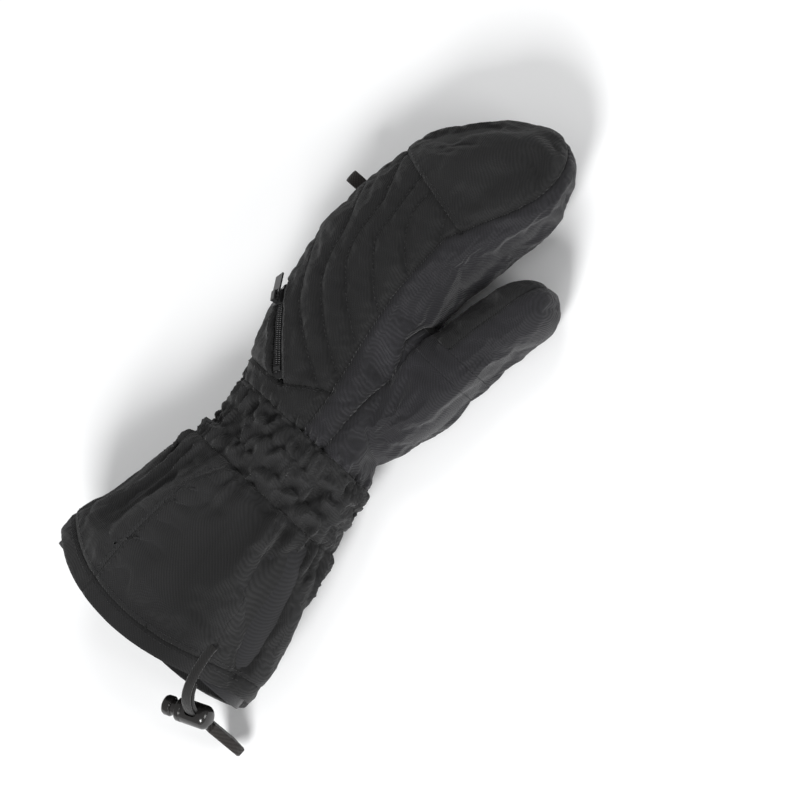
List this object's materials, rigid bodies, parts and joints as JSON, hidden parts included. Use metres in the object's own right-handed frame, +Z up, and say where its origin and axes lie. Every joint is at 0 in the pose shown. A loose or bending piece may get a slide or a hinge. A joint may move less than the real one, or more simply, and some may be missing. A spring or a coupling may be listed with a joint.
{
  "type": "ski mitten",
  "caption": "Left-hand insulated gauntlet mitten: quilted back with zip pocket, gathered wrist, grip palm, separate thumb, hem drawcord with spring lock and sewn end tab.",
  "frame": {"origin": "middle of the mitten's footprint, without its free cord, on the surface that its palm lies on", "axes": "+Y from the gauntlet's hem to the fingertips, +X towards the thumb, +Z up out of the back of the hand"},
  "size_m": [0.166, 0.3469, 0.0731],
  "materials": {
    "shell_twill": "fine matt nylon twill",
    "shell_twill_blue": "fine nylon twill with a slight cool sheen",
    "grip": "moulded rubbery lattice, satin",
    "lining_fleece": "short brushed fleece",
    "wadding": "bonded polyester wadding, unbleached",
    "pocketing": "thin plain weave",
    "elastic": "ribbed elastic tape",
    "zip_tape": "herringbone tape",
    "zip_plastic": "semi-gloss coil and coated pull",
    "drawcord": "flat braid",
    "lock_plastic": "gloss moulded",
    "spring_steel": "drawn wire",
    "webbing": "narrow woven tape"
  },
  "bodies": {
    "hand": {"fingertip_panel": "shell_twill", "back_quilt_panel": "shell_twill", "zip_side_panel": "shell_twill", "back_yoke": "shell_twill", "outer_gusset": "shell_twill", "index_gusset": "shell_twill_blue", "palm_border_panel": "shell_twill", "palm_grip_panel": "grip", "thumb_base_panel": "shell_twill_blue", "thumb_crease_sleeve": "shell_twill_blue", "thumb_crease_lining": "lining_fleece", "hand_padding_back": "wadding", "hand_padding_palm": "wadding", "hand_lining": "lining_fleece", "pocket_bag": "pocketing", "zip_tape_hand_side": "zip_tape", "zip_tape_outer_side": "zip_tape", "zip_coil_hand_side": "zip_plastic", "zip_coil_outer_side": "zip_plastic", "zip_bottom_stop": "zip_plastic", "zip_top_stop": "zip_plastic", "finger_loop": "webbing"},
    "thumb": {"thumb_outer_panel": "shell_twill_blue", "thumb_inner_panel": "shell_twill", "thumb_padding": "wadding", "thumb_lining": "lining_fleece"},
    "cuff": {"wrist_gather_back": "shell_twill", "wrist_gather_palm": "shell_twill", "wrist_elastic_band": "elastic", "wrist_lining": "lining_fleece", "cuff_back_panel": "shell_twill", "cuff_outer_panel": "shell_twill", "cuff_palm_panel": "shell_twill", "cuff_padding": "wadding", "cuff_lining": "pocketing", "hem_channel": "shell_twill", "hem_cord_loop": "drawcord", "label_tab": "webbing", "drawcord_outer_leg": "drawcord", "drawcord_inner_leg": "drawcord", "cord_end_tab": "webbing"},
    "cord_lock": {"cord_lock_barrel": "lock_plastic", "cord_lock_spring": "spring_steel"},
    "cord_plunger": {"cord_lock_plunger": "lock_plastic"},
    "zip_slider": {"zip_slider": "zip_plastic"},
    "zip_pull": {"zip_pull": "zip_plastic"}
  },
  "joints": [
    {"name": "wrist_flex", "type": "hinge", "parent": "hand", "child": "cuff", "pos_m": [0.0029, -0.0496, 0.031], "axis": [1, 0, 0], "range_deg": [-25, 25], "stiffness_Nm_per_rad": 0.35, "deforming": ["wrist_gather_back", "wrist_gather_palm", "wrist_elastic_band", "wrist_lining"]},
    {"name": "thumb_flex", "type": "hinge", "parent": "hand", "child": "thumb", "pos_m": [0.0354, 0.0419, 0.0185], "axis": [0, 0, 1], "range_deg": [-14, 4], "stiffness_Nm_per_rad": 0.12, "deforming": ["thumb_crease_sleeve", "thumb_crease_lining"]},
    {"name": "zip_slider_travel", "type": "hinge", "parent": "hand", "child": "zip_slider", "pos_m": [-0.0192, -0.01799, -0.06454], "axis": [0.6736, 0.7391, -0.0038], "range_deg": [0, 14.5]},
    {"name": "zip_pull_swing", "type": "hinge", "parent": "zip_slider", "child": "zip_pull", "pos_m": [-0.04978, 0.00908, 0.05238], "axis": [0.4404, 0.7729, 0.4568], "range_deg": [0, 120]},
    {"name": "cord_lock_slide", "type": "slide", "parent": "cuff", "child": "cord_lock", "axis": [0, 0, 1], "range_m": [-0.003, 0.002]},
    {"name": "plunger_press", "type": "slide", "parent": "cord_lock", "child": "cord_plunger", "axis": [0.9272, 0.3746, 0], "range_m": [0, 0.0025], "stiffness_N_per_m": 400, "springref_m": -0.002, "deforming": ["cord_lock_spring"]}
  ]
}
